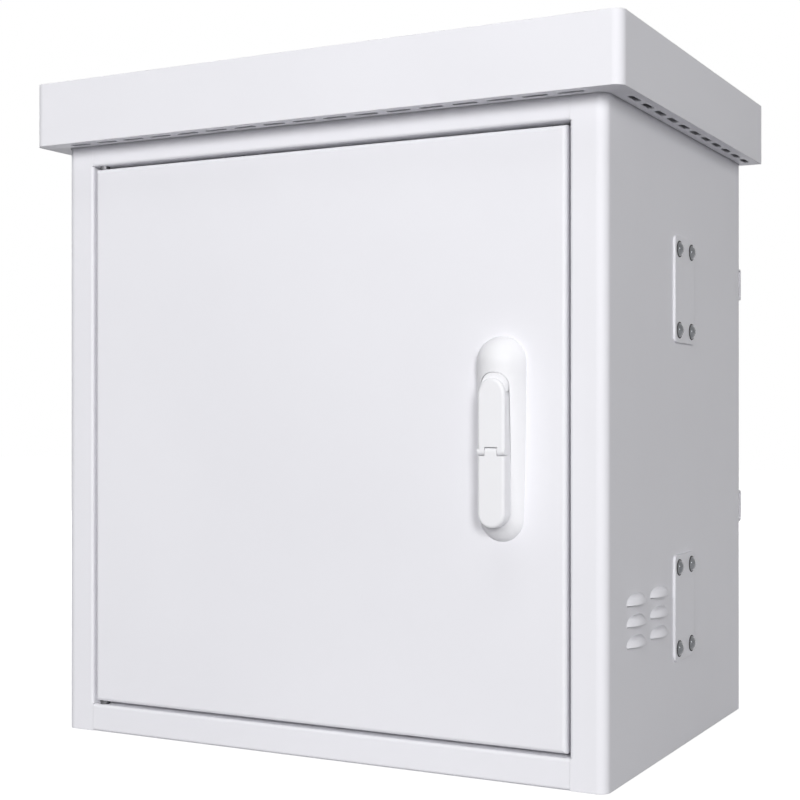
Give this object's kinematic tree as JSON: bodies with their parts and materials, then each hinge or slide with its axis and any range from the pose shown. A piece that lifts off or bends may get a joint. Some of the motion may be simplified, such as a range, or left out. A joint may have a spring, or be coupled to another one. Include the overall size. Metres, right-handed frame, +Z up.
{
  "type": "wall-mount rack cabinet",
  "caption": "Welded sheet-steel wall cabinet for rack equipment, with a slotted rain hood, a flush hinged door, a lift-lever latch, side louvres and wall rails.",
  "frame": {"origin": "on the wall plane, midway between the four wall bolts", "axes": "+X to the right seen from the front, +Y from the front into the wall, +Z up"},
  "size_m": [0.646, 0.475, 0.676],
  "materials": {
    "paint": "fine satin powder coat",
    "zinc": "zinc plated",
    "bright_steel": "bright polished steel",
    "black_steel": "black oxide",
    "rubber": "matte black",
    "filter_foam": "open-cell foam",
    "moulding": "smooth satin"
  },
  "bodies": {
    "cabinet": {"side_panel_left": "paint", "side_panel_right": "paint", "top_panel": "paint", "floor_panel": "paint", "back_panel": "paint", "rain_hood": "paint", "hood_top": "paint", "hood_spacers": "bright_steel", "hood_nuts": "zinc", "hood_bolts": "zinc", "wall_rail_upper": "paint", "wall_rail_lower": "paint", "side_plate_left_upper": "paint", "side_plate_left_lower": "paint", "side_plate_right_upper": "paint", "side_plate_right_lower": "paint", "plate_bolts_left": "bright_steel", "plate_bolts_right": "bright_steel", "plate_nuts_left": "zinc", "plate_nuts_right": "zinc", "rail_support_left_upper": "zinc", "rail_support_left_lower": "zinc", "rail_support_right_upper": "zinc", "rail_support_right_lower": "zinc", "rack_rail_front_left": "zinc", "rack_rail_front_right": "zinc", "rack_rail_rear_left": "zinc", "rack_rail_rear_right": "zinc", "rack_rail_screws": "bright_steel", "gland_plate": "zinc", "gland_plate_screws": "bright_steel", "cable_grommets": "rubber", "louvre_filter_left": "filter_foam", "louvre_filter_right": "filter_foam", "hinge_pin_upper": "black_steel", "hinge_pin_lower": "black_steel"},
    "door": {"door_panel": "paint", "door_gasket": "rubber", "hinge_bush_upper": "black_steel", "hinge_bush_lower": "black_steel", "handle_base": "moulding", "handle_screws": "bright_steel", "lever_pin": "bright_steel", "bar_studs": "bright_steel"},
    "lever": {"handle_lever": "moulding"},
    "flap": {"lock_flap": "moulding", "flap_pin": "bright_steel"},
    "plug": {"lock_plug": "bright_steel"},
    "latch": {"latch_bar": "zinc"}
  },
  "joints": [
    {"name": "door_swing", "type": "hinge", "parent": "cabinet", "child": "door", "pos_m": [-0.2555, -0.443, -0.04325], "axis": [0, 0, -1], "range_deg": [0, 110]},
    {"name": "handle_lift", "type": "hinge", "parent": "door", "child": "lever", "pos_m": [0.201, -0.46, 0.00275], "axis": [-1, 0, 0], "range_deg": [0, 30]},
    {"name": "latch_slide", "type": "slide", "parent": "door", "child": "latch", "axis": [0, 0, -1], "range_m": [0, 0.0213]},
    {"name": "flap_swing", "type": "hinge", "parent": "lever", "child": "flap", "pos_m": [0.201, -0.4716, -0.05425], "axis": [1, 0, 0], "range_deg": [0, 90]},
    {"name": "key_turn", "type": "hinge", "parent": "lever", "child": "plug", "pos_m": [0.201, -0.4655, -0.02625], "axis": [0, -1, 0], "range_deg": [0, 90]}
  ],
  "couplings": [
    {"joint": "latch_slide", "follows": "handle_lift", "m_per_rad": 0.040533}
  ]
}
